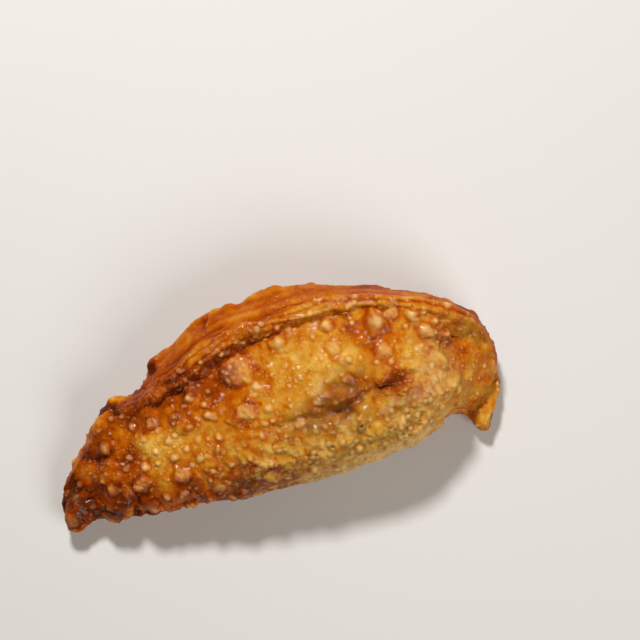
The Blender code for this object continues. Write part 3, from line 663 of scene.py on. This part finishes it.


# browning

# How brown the crust is, 0 raw to 1 burnt. Patches are x, y, radius and what they add; the darker
# ones in and round the dent are partly painted shade.
browning = {
    "base": 0.335,
    "patches": (
        (-78, -40, 12, 0.42), (-66, -28, 12, 0.17), (-54, -36, 11, 0.36), (-62, -20.3, 4.5, 0.36),
        (-69, -37, 4.5, 0.34), (-58.9, -4.6, 5, 0.34), (-57, -36, 4.5, 0.32), (-64, -7, 4.5, 0.46),
        (-59.5, 1.4, 4, -0.26), (-47, -9.4, 4, 0.3), (-46, -5, 4.5, 0.18), (-29, -31, 4.5, 0.26),
        (-25.7, 4.4, 6, 0.11), (-31, 6.2, 4, 0.1), (-15.4, 4.2, 4, 0.12), (-4, 24, 5, 0.12),
        (8, 25, 7, 0.08), (23, 24, 4, 0.18), (42, 27, 4.5, 0.14), (49, 30.5, 3.5, 0.12),
        (49.5, 19, 3.5, 0.19), (-12, -12.5, 5, 0.14), (-24.6, -18, 4, 0.12), (-3, -8.5, 4.5, 0.15),
        (46.3, 4, 4, 0.12), (29, 5.5, 3, 0.12), (2, -26, 6, 0.12), (-21, -33.5, 4, 0.26),
        (53.6, -2.2, 4, -0.08), (36, -11, 8, -0.18), (21.5, -14, 5, -0.14), (48, -5, 5, -0.1),
        (-38.6, -11.4, 4, -0.1), (-10.6, -3.8, 5, -0.1), (-10.5, 13.5, 4, -0.18), (16.5, 13.5, 3.5, -0.06),
        (-62, -16, 9, 0.18), (-36, -30, 9, 0.31), (-36, 1, 8, 0.26), (-18, 9, 9, 0.24), (-22, -5, 8, 0.18),
        (-11, -28.5, 7, 0.58), (-20, -33, 6, 0.2), (12, 18, 13, -0.14), (43, 18, 6, -0.15),
        (50, 13, 5, 0.1), (30, 26, 9.5, 0.22), (52.5, 22, 6, 0.06), (60, 26, 8, 0.04), (36.5, 8, 5, 0.4),
        (22.5, 0.5, 3.5, 0.3), (21.5, 7.8, 4, 0.24), (18, 4, 8, 0.14), (-44, -19, 9, -0.04),
        (28.5, -3, 3, 0.16), (46, 28.5, 4, 0.02), (-26, -22, 6, 0.1), (0, 0, 5, 0.09), (18, 31.5, 6, 0.14),
        (-46, 12, 3, 0.3), (6, -21, 6, 0.12), (-15.9, 12, 5.5, 0.02), (31.4, 28.3, 4.4, 0.13),
        (-69, -10, 4, 0.3), (-62, -15.1, 2.6, -0.12), (65, 3, 6, -0.08), (-73, -35.2, 5, 0.24),
        (-58.2, -35.7, 4.5, 0.22), (-64, -21.7, 4.5, 0.18), (-51.5, -20, 3, -0.1), (-37.5, -8.4, 4, -0.18),
        (-32, -5.2, 4, 0.14), (-5, 19, 3.5, 0.16), (13.5, 24, 3.5, 0.14), (11.8, 3, 4, 0.14),
        (18.6, -3.3, 4, 0.18), (38.9, -1.5, 4, 0.17), (44, 29, 3, 0.05), (49, 7, 4, 0.12),
        (-7, -12, 4, 0.14), (35.6, 3.4, 3, -0.18), (38.8, 14, 3.5, -0.1), (30, 32.6, 4, -0.14),
        (15.2, 35, 3.5, -0.12), (-15, 25, 4, -0.08), (-32, 24, 4.5, -0.14), (63, 27.3, 5, -0.2),
        (-47.5, -31, 3, -0.1), (60.6, -0.5, 4, -0.08), (-31.8, -34.3, 3, -0.16),
        (-18.2, -32.1, 2.6, -0.16), (-22, -28.3, 3, -0.12), (-14.5, -21, 3, -0.12),
        (59.2, 5.3, 2.4, -0.14), (-39.4, -12.5, 2, -0.14), (-9.2, 24.3, 1.6, -0.14), (5.6, -5.9, 3, 0.12),
        (-21.4, 17.4, 1.8, -0.18), (-26.9, 0.3, 3.5, -0.12), (-47.7, -21.5, 1.8, 0.1),
        (47.7, 25.6, 3.8, 0.09), (-1.7, 21.2, 2.2, -0.06),
    ),
    # painted shade: olive-brown shadows painted into the folds of the belly: x, y, radius, share
    "paintedFoldShades": (
        (22.5, 5, 6, 0.78), (16, 0.5, 6, 0.86), (20.3, -2, 4.5, 0.95), (10.1, -5.4, 5, 0.84),
        (27, -2.2, 3.6, 0.35), (37.6, -2.8, 3.5, 0.5), (3, -6.8, 4, 0.5), (26.1, -8.4, 2.6, 0.65),
        (46.5, 26.5, 3, 0.15), (1, -7.5, 4, 0.3), (42, 0.5, 4.5, 0.42), (-12, -27, 6, 0.5),
        (31.5, 5.5, 4.5, 0.42), (12, -18, 4, 0.3), (30, -13, 5, 0.12), (4, -27, 6, 0.5), (15, -24, 4, 0.3),
    ),
    "regions": {
        # the belly beside the crease under the cord is darker: partly browning, partly painted shade
        "besideCrease": 0.16, "band": 0.10, "backSide": 0.16, "rope": 0.15, "rim": 0.13,
        "tipPiece": -0.02, "paleEdge": -0.16,
    },
    # darker gaps and notch: painted shade; darker dent: partly browning, partly painted shade; paler lips:
    # painted highlight
    "lines": {
        "beside": 0.18, "lobeShade": 0.20, "notch": 0.30, "dentPocket": 0.22, "dentCrumple": 0.12,
        "leftLip": -0.10, "lobeEdge": -0.10, "rightLip": -0.10,
    },
    # darker in the crease under the cord: partly browning, partly painted shade
    "creaseSide": 0.12,
    # paler strand tops: painted highlight
    "strandTop": -0.06,
    # paler along the raised streaks of the band: partly stretch marks, partly painted highlight
    "streaks": 0.06,
    "lift": -0.10,
    "foot": 0.17,
    "hole": 0.16,
    "under": 0.10,
    # painted shade along the step down from the belly onto the rim
    "rimStepShade": 0.12,
    # painted light and shade: paler on the crests of the left's swells, darker in their hollows
    "swell": 0.17,
    # painted shade: darker in the hollows between the lumps of the lower front, paler on their crests
    "lumps": 0.26,
    "sideHeights": (4.0, 14.0),  # where the underside's brown gives way to the patches in full
    "patchUnder": 0.4,  # what is left of a patch below them
    "raggedHeights": (8.0, 20.0),
    "ragged": (0.50, 0.22),  # unevenness of a patch's outline below and above those, in radii
    # unevenness of the outline of a painted fold shadow, in radii
    "paintedShadeRagged": 0.25,
}

# How strongly each mark reaches the material.
tints = {
    "oliveEnd": 0.9,
    "paleEdge": 0.75,
    "paleEnd": 0.40,
    "bellyGloss": 0.7,
    "burntTip": 0.5,  # what the left tip takes off the pale tops there
    "tip": (-60.0, -69.0),  # of x + tipLean * y
    "tipLean": 0.4,
}


def blot(points, noise, ragged, x, y, radius):
    # bell of the distance in plan from x, y, its outline made uneven by noise in shares of the radius.
    flat = points[:, :2] + ragged * radius * noise - (x, y)
    return bell(np.hypot(flat[:, 0], flat[:, 1]), radius)


def paintedShadeOf(points):
    # The painted shade in the folds that reaches furthest at a point: share * blot.
    noise = np.column_stack([ripple(points, 5.0, seed) for seed in (33, 34)])
    stain = np.zeros(len(points))
    for x, y, radius, share in browning["paintedFoldShades"]:
        stain = np.maximum(stain, share * blot(points, noise, browning["paintedShadeRagged"], x, y, radius))
    return stain * within(points[:, 2], browning["sideHeights"])


def toastOf(points, region, marks, lift, foot, hole):
    # Toast = base + sum of patch amount * blot + shares of the regions, lines and blister marks.
    # The crease, gap, dent, lip and strand shares also paint in shade and highlight.
    noise = np.column_stack([ripple(points, 9.0, seed) for seed in (31, 32)])
    toast = np.full(len(points), browning["base"])
    side = within(points[:, 2], browning["sideHeights"])
    low, high = browning["ragged"]
    ragged = (low + (high - low) * within(points[:, 2], browning["raggedHeights"]))[:, None]
    whole = browning["patchUnder"] + (1.0 - browning["patchUnder"]) * side
    for x, y, radius, amount in browning["patches"]:
        toast += amount * blot(points, noise, ragged, x, y, radius) * whole
    for name, amount in browning["regions"].items():
        toast += amount * region[name]
    # painted shade in the gaps, notch and dent, painted highlight on the lips; the dent partly browning
    for name, amount in browning["lines"].items():
        toast += amount * marks[name]
    # darker in the crease: partly browning, partly painted shade
    toast += browning["creaseSide"] * marks["crease"] ** 1.3
    strands = [marks[name] for name in ("lowerStrand", "upperStrand", "farStrand")]
    # paler strand tops: painted highlight
    toast += browning["strandTop"] * np.maximum.reduce(strands)
    toast += browning["lift"] * lift + browning["foot"] * foot + browning["hole"] * hole
    return toast + browning["under"] * (1.0 - side)


# mesh


def onVertices(values):
    # The grid's values for each vertex: one for each pole, all for the rings between.
    grid = values.reshape(form["rings"], form["turns"], -1)
    return np.vstack([grid[0, :1], grid[1:-1].reshape(-1, grid.shape[-1]), grid[-1, :1]])


def closedMesh(name, points):
    # Rings of equal count become quads, and each end ring shrinks to one point with a fan of
    # triangles.
    vertices, turns = onVertices(points) * mm, form["turns"]
    last = len(vertices) - 1
    ring = np.arange(form["rings"] - 3)[:, None] * turns + 1
    column = np.arange(turns)
    following = (column + 1) % turns
    beyond = ring + turns
    quads = np.stack([beyond + column, beyond + following, ring + following, ring + column], axis=-1)
    start = np.stack([1 + column, 1 + following, 0 * column], axis=-1)
    finish = np.stack([last - turns + following, last - turns + column, last + 0 * column], axis=-1)
    loops = np.concatenate([quads.ravel(), start.ravel(), finish.ravel()]).astype(np.int32)
    sizes = np.repeat((4, 3), (quads.size // 4, 2 * turns))
    mesh = bpy.data.meshes.new(name)
    mesh.vertices.add(len(vertices))
    mesh.vertices.foreach_set("co", vertices.astype(np.float32).ravel())
    mesh.loops.add(len(loops))
    mesh.loops.foreach_set("vertex_index", loops)
    mesh.polygons.add(len(sizes))
    mesh.polygons.foreach_set("loop_start", (np.cumsum(sizes) - sizes).astype(np.int32))
    mesh.polygons.foreach_set("use_smooth", np.ones(len(sizes), dtype=bool))
    mesh.update(calc_edges=True)
    mesh.validate()
    return mesh


def paint(mesh, name, values):
    # One number for each vertex, for the material to read.
    layer = mesh.attributes.new(name, "FLOAT", "POINT")
    layer.data.foreach_set("value", onVertices(values).astype(np.float32).ravel())


def addObject(name, data):
    # Puts a new object with this data into the scene.
    added = bpy.data.objects.new(name, data)
    bpy.context.scene.collection.objects.link(added)
    return added


# Waves of the skin between the blisters: how long they are and how high by region.
skin = {
    "swellSize": 10.0, "swell": 0.16, "leftSwell": 0.50,
    "fineSize": 5.0, "fine": 0.07,
    "lumpSize": 5.0, "frontLumps": 0.14, "leftLumps": 0.20,
    "crumpleSize": 4.2, "crumples": 0.8,
    "streaks": 0.11,
}


def skinWaves(points, region):
    # Rise = swells + fine waves + lumps |noise| at the front and left + streaks on the band +
    # crumples |noise| at the right. The swells and lumps also paint light and shade into the toast:
    # paler crests, darker hollows.
    swell, fine = ripple(points, skin["swellSize"], 41), ripple(points, skin["fineSize"], 42)
    lumps = np.abs(ripple(points, skin["lumpSize"], 43))
    crumples = np.abs(ripple(points, skin["crumpleSize"], 45))
    rise = (skin["swell"] + skin["leftSwell"] * region["left"]) * swell + skin["fine"] * fine
    rise += (skin["frontLumps"] * region["lowerFront"] + skin["leftLumps"] * region["left"]) * lumps
    rise += skin["streaks"] * region["band"] * region["streaks"]
    return rise + skin["crumples"] * region["crumple"] * crumples, swell, lumps


def makeCrust():
    # Points = form + cord and folds along its normals - the steps at the right end, + blisters and
    # skin along the new normals, then moved so that their middle is the solid's.
    place = np.repeat(evenPlaces(form["rings"]), form["turns"])
    turn = np.tile(evenTurns(form["turns"]), form["rings"])
    points, across = plainForm(place, turn)
    normals = gridNormals(points)
    facingUp = within(normals[:, 2], form["topSlope"])
    relief, marks = lineRelief(points, facingUp)
    inside = smoothStep(0.0, form["reliefRun"], np.minimum(place, 1.0 - place))
    points = points + normals * (relief * inside)[:, None]
    drop, onRim = endDrop(points, place, turn, across)
    points[:, 2] -= drop
    print("crust form: cord and folds done")

    normals = gridNormals(points)
    region = regions(points, place, turn, across)
    region["rim"] = onRim * (1.0 - region["tipPiece"])
    named, lift, foot, hole = namedBlisters(points, facingUp)
    scattered, lift, foot = scatteredBlisters(points, region, lift, foot)
    rise = named + np.where(np.abs(named) > scatter["namedFrom"], scatter["onNamed"], 1.0) * scattered
    waves, swell, lumps = skinWaves(points, region)
    clear = within(points[:, 2], form["blisterHeights"])
    points = points + normals * ((rise + waves) * clear * inside)[:, None]
    points[:, 2] = np.maximum(points[:, 2], 0.0)
    print("crust form: blisters done")

    toast = toastOf(points, region, marks, lift, foot, hole)
    # painted light and shade: paler on the crests of the swells at the left, darker in their hollows, most
    # on the top
    toast -= browning["swell"] * region["left"] * swell * (0.3 + 0.7 * np.clip(facing(turn), 0.0, 1.0))
    # painted shade: darker in the hollows between the lumps of the lower front, paler on their crests
    toast += browning["lumps"] * region["lowerFront"] * (0.7 - lumps)
    # paler along the raised streaks of the band: partly stretch marks, partly painted highlight
    toast -= browning["streaks"] * region["band"] * region["streaks"]
    # painted shade: darker along the step down from the belly onto the rim
    toast += browning["rimStepShade"] * bell(region["rim"] - 0.5, 0.28)
    # painted shade: olive-brown shadows in the folds of the belly
    stain = paintedShadeOf(points)
    low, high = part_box("empanada")
    cadMiddle = (np.array(low) + np.array(high))[:2] / 2.0 / mm
    points[:, :2] += cadMiddle - (points.min(axis=0) + points.max(axis=0))[:2] / 2.0
    mesh = closedMesh("friedCrust", points)
    pale = np.maximum(tints["paleEdge"] * region["paleEdge"], tints["paleEnd"] * region["paleEnd"])
    pale = np.clip(pale * (0.75 + 0.5 * lumps), 0.0, 1.0)
    lift *= 1.0 - tints["burntTip"] * within(points[:, 0] + tints["tipLean"] * points[:, 1], tints["tip"])
    paint(mesh, "toast", toast)
    paint(mesh, "olive", np.maximum(region["lowerFront"], tints["oliveEnd"] * region["paleEnd"]))
    paint(mesh, "lift", np.maximum(lift, pale))
    # the painted fold shadows, for the material to blend in
    paint(mesh, "stain", stain)
    paint(mesh, "gloss", np.clip(region["band"] + tints["bellyGloss"] * region["smoothBelly"], 0.0, 1.0))
    return addObject("friedCrust", mesh)


# materials


def linear(hexColour):
    # sRGB hex to linear: c / 12.92 for dark values, ((c + 0.055) / 1.055)^2.4 for the rest.
    parts = [int(hexColour[i : i + 2], 16) / 255.0 for i in (1, 3, 5)]
    return tuple(c / 12.92 if c <= 0.04045 else ((c + 0.055) / 1.055) ** 2.4 for c in parts) + (1.0,)


def addNode(tree, kind, fields, output=0):
    # Adds a node. A field that is a socket is linked, and any other sets a property or an input.
    node = tree.nodes.new("ShaderNode" + kind)
    for name, value in fields.items():
        if isinstance(value, bpy.types.NodeSocket):
            tree.links.new(value, node.inputs[name])
        elif isinstance(name, str) and hasattr(node, name):
            setattr(node, name, value)
        else:
            node.inputs[name].default_value = value
    return node.outputs[output] if node.outputs else None


dough = {
    # from raw to burnt
    "toastColours": (
        (0.00, "#ebc070"), (0.18, "#dea94b"), (0.34, "#cb8b29"), (0.50, "#bf6708"),
        (0.64, "#a84a02"), (0.80, "#873201"), (1.00, "#5a2003"),
    ),
    "oliveTan": "#bd8823",
    "paleSkin": "#eabf7c",
    # olive-brown for the painted shade in the folds and for the rings round the small pale blisters
    "oliveShade": "#7a4b1a",
    "flakeEdge": "#dbaa52",
    "flakeShade": "#6a3c12",
    "popTop": "#e8c27c",
    # size, detail and roughness of each noise
    "noises": {
        "patches": (8.0, 3.0, 0.55), "mottle": (2.4, 3.0, 0.55), "flakes": (3.4, 3.0, 0.6),
        "grain": (0.45, 2.0, 0.55),
    },
    "beadSize": 1.5,  # finest blisters, too small for the mesh
    "popSize": 3.8,  # distance between the small pale blisters of the lower front
    # how much the noises, and the beads, add to the toast
    "uneven": {"patches": 0.80, "mottle": 0.46, "middle": -0.63, "beads": -0.08},
    "popRagged": 0.4,
    "beadPale": 0.12,
    "popPale": 0.70,
    # from low and high, to low and high: over gloss, patches, beads, toast, flakes, pops and mottle
    "eases": {
        "calm": (0.0, 1.0, 1.0, 0.60), "smooth": (0.0, 1.0, 1.0, 0.25), "oil": (0.0, 1.0, 0.33, 0.165),
        "beadPlaces": (0.44, 0.60, 0.08, 1.0), "beadTop": (0.42, 0.08, 0.0, 1.0),
        "unburnt": (0.62, 0.46, 0.0, 0.55), "thin": (0.82, 0.40, 0.30, 0.72),
        "flaky": (0.80, 0.50, 0.25, 1.0), "edges": (0.50, 0.66, 0.0, 0.50),
        "shades": (0.44, 0.30, 0.0, 0.50), "popInside": (0.56, 0.28, 0.0, 1.0),
        "popRound": (0.74, 0.56, 0.0, 0.34), "roughness": (0.3, 0.7, 0.38, 0.58),
    },
    "heights": {"beads": 0.7, "grain": 0.20, "mottle": 0.35, "scales": 0.5, "pops": 1.0},
    "bumpDepth": 0.35,
    "bumpStrength": 0.8,
    "bending": 1.46,  # index of refraction
    "specularLevel": 0.01,
    "oilRoughness": 0.08,
    "scatterWeight": 0.12,
    "scatterColour": (1.0, 0.42, 0.14),
    "scatterDepth": 2.2,
}


def friedDough():
    # Wheat dough deep-fried in oil: a thin film of oil over a crust that lets a little light in, so
    # small sharp highlights on a soft amber body. Brown where it is thin or stands proud.
    material = bpy.data.materials.new("friedWheatDough")
    material.use_nodes = True
    material.node_tree.nodes.clear()
    add = partial(addNode, material.node_tree)
    times, plus = {"operation": "MULTIPLY"}, {"operation": "MULTIPLY_ADD"}
    eases = {
        name: {"interpolation_type": "SMOOTHSTEP", **dict(enumerate(edges, 1))}
        for name, edges in dough["eases"].items()
    }
    place = add("TexCoord", {}, "Object")
    toast, olive, lift, stain, gloss = (
        add("Attribute", {"attribute_name": name}, "Fac")
        for name in ("toast", "olive", "lift", "stain", "gloss")
    )
    patches, mottle, flakes, grain = (
        add("TexNoise", {"Vector": place, "Scale": 1.0 / (size * mm), "Detail": detail, "Roughness": rough})
        for size, detail, rough in dough["noises"].values()
    )
    beads, pops = (
        add("TexVoronoi", {"Vector": place, "Scale": 1.0 / (dough[size] * mm)})
        for size in ("beadSize", "popSize")
    )
    calm, smooth, beadPlaces, beadTop = (
        add("MapRange", {**eases[name], 0: value})
        for value, name in ((gloss, "calm"), (gloss, "smooth"), (patches, "beadPlaces"), (beads, "beadTop"))
    )
    beadHere = add("Math", {**times, 0: beadTop, 1: add("Math", {**times, 0: beadPlaces, 1: calm})})

    # toast = painted toast + (mottle + patches - their middle) * calm - beads, kept within 0 to 1
    adds = dough["uneven"]
    uneven = add("Math", {**plus, 0: mottle, 1: adds["mottle"], 2: adds["middle"]})
    uneven = add("Math", {**plus, 0: patches, 1: adds["patches"], 2: uneven})
    toast = add("Math", {**plus, 0: uneven, 1: calm, 2: toast})
    toast = add("Math", {**plus, 0: beadHere, 1: adds["beads"], 2: toast, "use_clamp": True})
    ramp = add("ValToRGB", {"Fac": toast})
    stops = ramp.node.color_ramp.elements
    while len(stops) < len(dough["toastColours"]):
        stops.new(0.5)
    for stop, (position, hexColour) in zip(stops, dough["toastColours"]):
        stop.position, stop.color = position, linear(hexColour)

    # olive and pale skin fade as the toast darkens, and flakes and small blisters lie on the olive
    oliveHere, paleHere, flaky = (
        add("Math", {**times, 0: value, 1: add("MapRange", {**eases[name], 0: toast})})
        for value, name in ((olive, "unburnt"), (lift, "thin"), (olive, "flaky"))
    )
    ragged = add("Math", {**plus, 0: mottle, 1: dough["popRagged"], 2: pops})
    edgeHere, shadeHere, popHere, popFoot = (
        add("Math", {**times, 0: flaky, 1: add("MapRange", {**eases[name], 0: value})})
        for value, name in (
            (flakes, "edges"), (flakes, "shades"), (ragged, "popInside"), (ragged, "popRound")
        )
    )
    colour = ramp
    for share, name in (
        (oliveHere, "oliveTan"),
        (paleHere, "paleSkin"),
        # painted shade: the fold shadows, blended to olive-brown
        (stain, "oliveShade"),
        (edgeHere, "flakeEdge"),
        (shadeHere, "flakeShade"),
        (add("Math", {**times, 0: beadHere, 1: dough["beadPale"]}), "paleSkin"),
        (popFoot, "oliveShade"),
        (add("Math", {**times, 0: popHere, 1: dough["popPale"]}), "popTop"),
    ):
        colour = add("Mix", {"data_type": "RGBA", 0: share, 6: colour, 7: linear(dough[name])}, 2)

    # height = (beads + grain + mottle) * smooth + scales + pops
    height, scales = 0.0, add("Math", {**times, 0: flaky, 1: flakes})
    for name, value in (("beads", beadHere), ("grain", grain), ("mottle", mottle)):
        height = add("Math", {**plus, 0: value, 1: dough["heights"][name], 2: height})
    height = add("Math", {**times, 0: height, 1: smooth})
    for name, value in (("scales", scales), ("pops", popHere)):
        height = add("Math", {**plus, 0: value, 1: dough["heights"][name], 2: height})
    depth, strength = dough["bumpDepth"] * mm, dough["bumpStrength"]
    bump = add("Bump", {"Height": height, "Strength": strength, "Distance": depth})
    shader = add("BsdfPrincipled", {
        "Base Color": colour,
        "IOR": dough["bending"],
        "Roughness": add("MapRange", {**eases["roughness"], 0: mottle}),
        "Specular IOR Level": dough["specularLevel"],
        "Subsurface Weight": dough["scatterWeight"],
        "Subsurface Radius": dough["scatterColour"],
        "Subsurface Scale": dough["scatterDepth"] * mm,
        "Coat Weight": add("MapRange", {**eases["oil"], 0: gloss}),
        "Coat Roughness": dough["oilRoughness"],
        "Normal": bump,
        "Coat Normal": bump,
    })
    add("OutputMaterial", {"Surface": shader})
    return material


crust = makeCrust()
crust.data.materials.append(friedDough())
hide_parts("empanada")
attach(crust, "root")
print("crust: dressed")

# floor, light, camera

# Lengths here are metres, and the lens is in millimetres.
studio = {
    "floorColour": "#dcdad6",
    "floorSize": 3.0,
    "floorRoughness": 0.9,
    # place, size and watts of each light, and what they point at
    "lights": {
        "keyLight": ((-0.14, 0.62, 0.74), 0.14, 8.6),
        "fillLight": ((0.50, -0.45, 0.70), 0.6, 4.2),
    },
    "aim": (0.0, 0.0, 0.015),
    "skyStrength": 0.10,
    "skyColour": "#ffdeb4",
    "lens": 120.0,
    "cameraPlace": (0.0136, 0.0308, 0.756),
}


def makeFloor():
    # One square in the plane z = 0.
    half = studio["floorSize"] / 2.0
    corners = [(-half, -half, 0.0), (half, -half, 0.0), (half, half, 0.0), (-half, half, 0.0)]
    mesh = bpy.data.meshes.new("studioFloor")
    mesh.from_pydata(corners, [], [(0, 1, 2, 3)])
    material = bpy.data.materials.new("matteStudioPaper")
    material.use_nodes = True
    shader = material.node_tree.nodes["Principled BSDF"]
    shader.inputs["Base Color"].default_value = linear(studio["floorColour"])
    shader.inputs["Roughness"].default_value = studio["floorRoughness"]
    mesh.materials.append(material)
    floor = addObject("studioFloor", mesh)


def makeLight(name, place, size, watts):
    # A round lamp, pointed at the aim: tilted by atan2(level distance, drop), turned by atan2(-x, y).
    light = bpy.data.lights.new(name, "AREA")
    light.shape, light.size, light.energy = "DISK", size, watts
    lamp = addObject(name, light)
    lamp.location = place
    offset = np.array(studio["aim"]) - np.array(place)
    flat = math.hypot(offset[0], offset[1])
    lamp.rotation_euler = (math.atan2(flat, -offset[2]), 0.0, math.atan2(-offset[0], offset[1]))


def makeCamera():
    # Straight down, as the photo was taken, with the image's top towards +Y.
    data = bpy.data.cameras.new("photoCamera")
    data.lens, data.clip_start, data.clip_end = studio["lens"], 0.01, 20.0
    camera = addObject("photoCamera", data)
    camera.location = studio["cameraPlace"]
    bpy.context.scene.camera = camera


makeFloor()
for name, (place, size, watts) in studio["lights"].items():
    makeLight(name, place, size, watts)
world = bpy.data.worlds.new("studioSky")
world.use_nodes = True
sky = world.node_tree.nodes["Background"]
sky.inputs["Strength"].default_value = studio["skyStrength"]
sky.inputs["Color"].default_value = linear(studio["skyColour"])
bpy.context.scene.world = world
makeCamera()
bpy.context.scene.view_settings.view_transform = "Standard"
print("studio: floor, lights and camera")
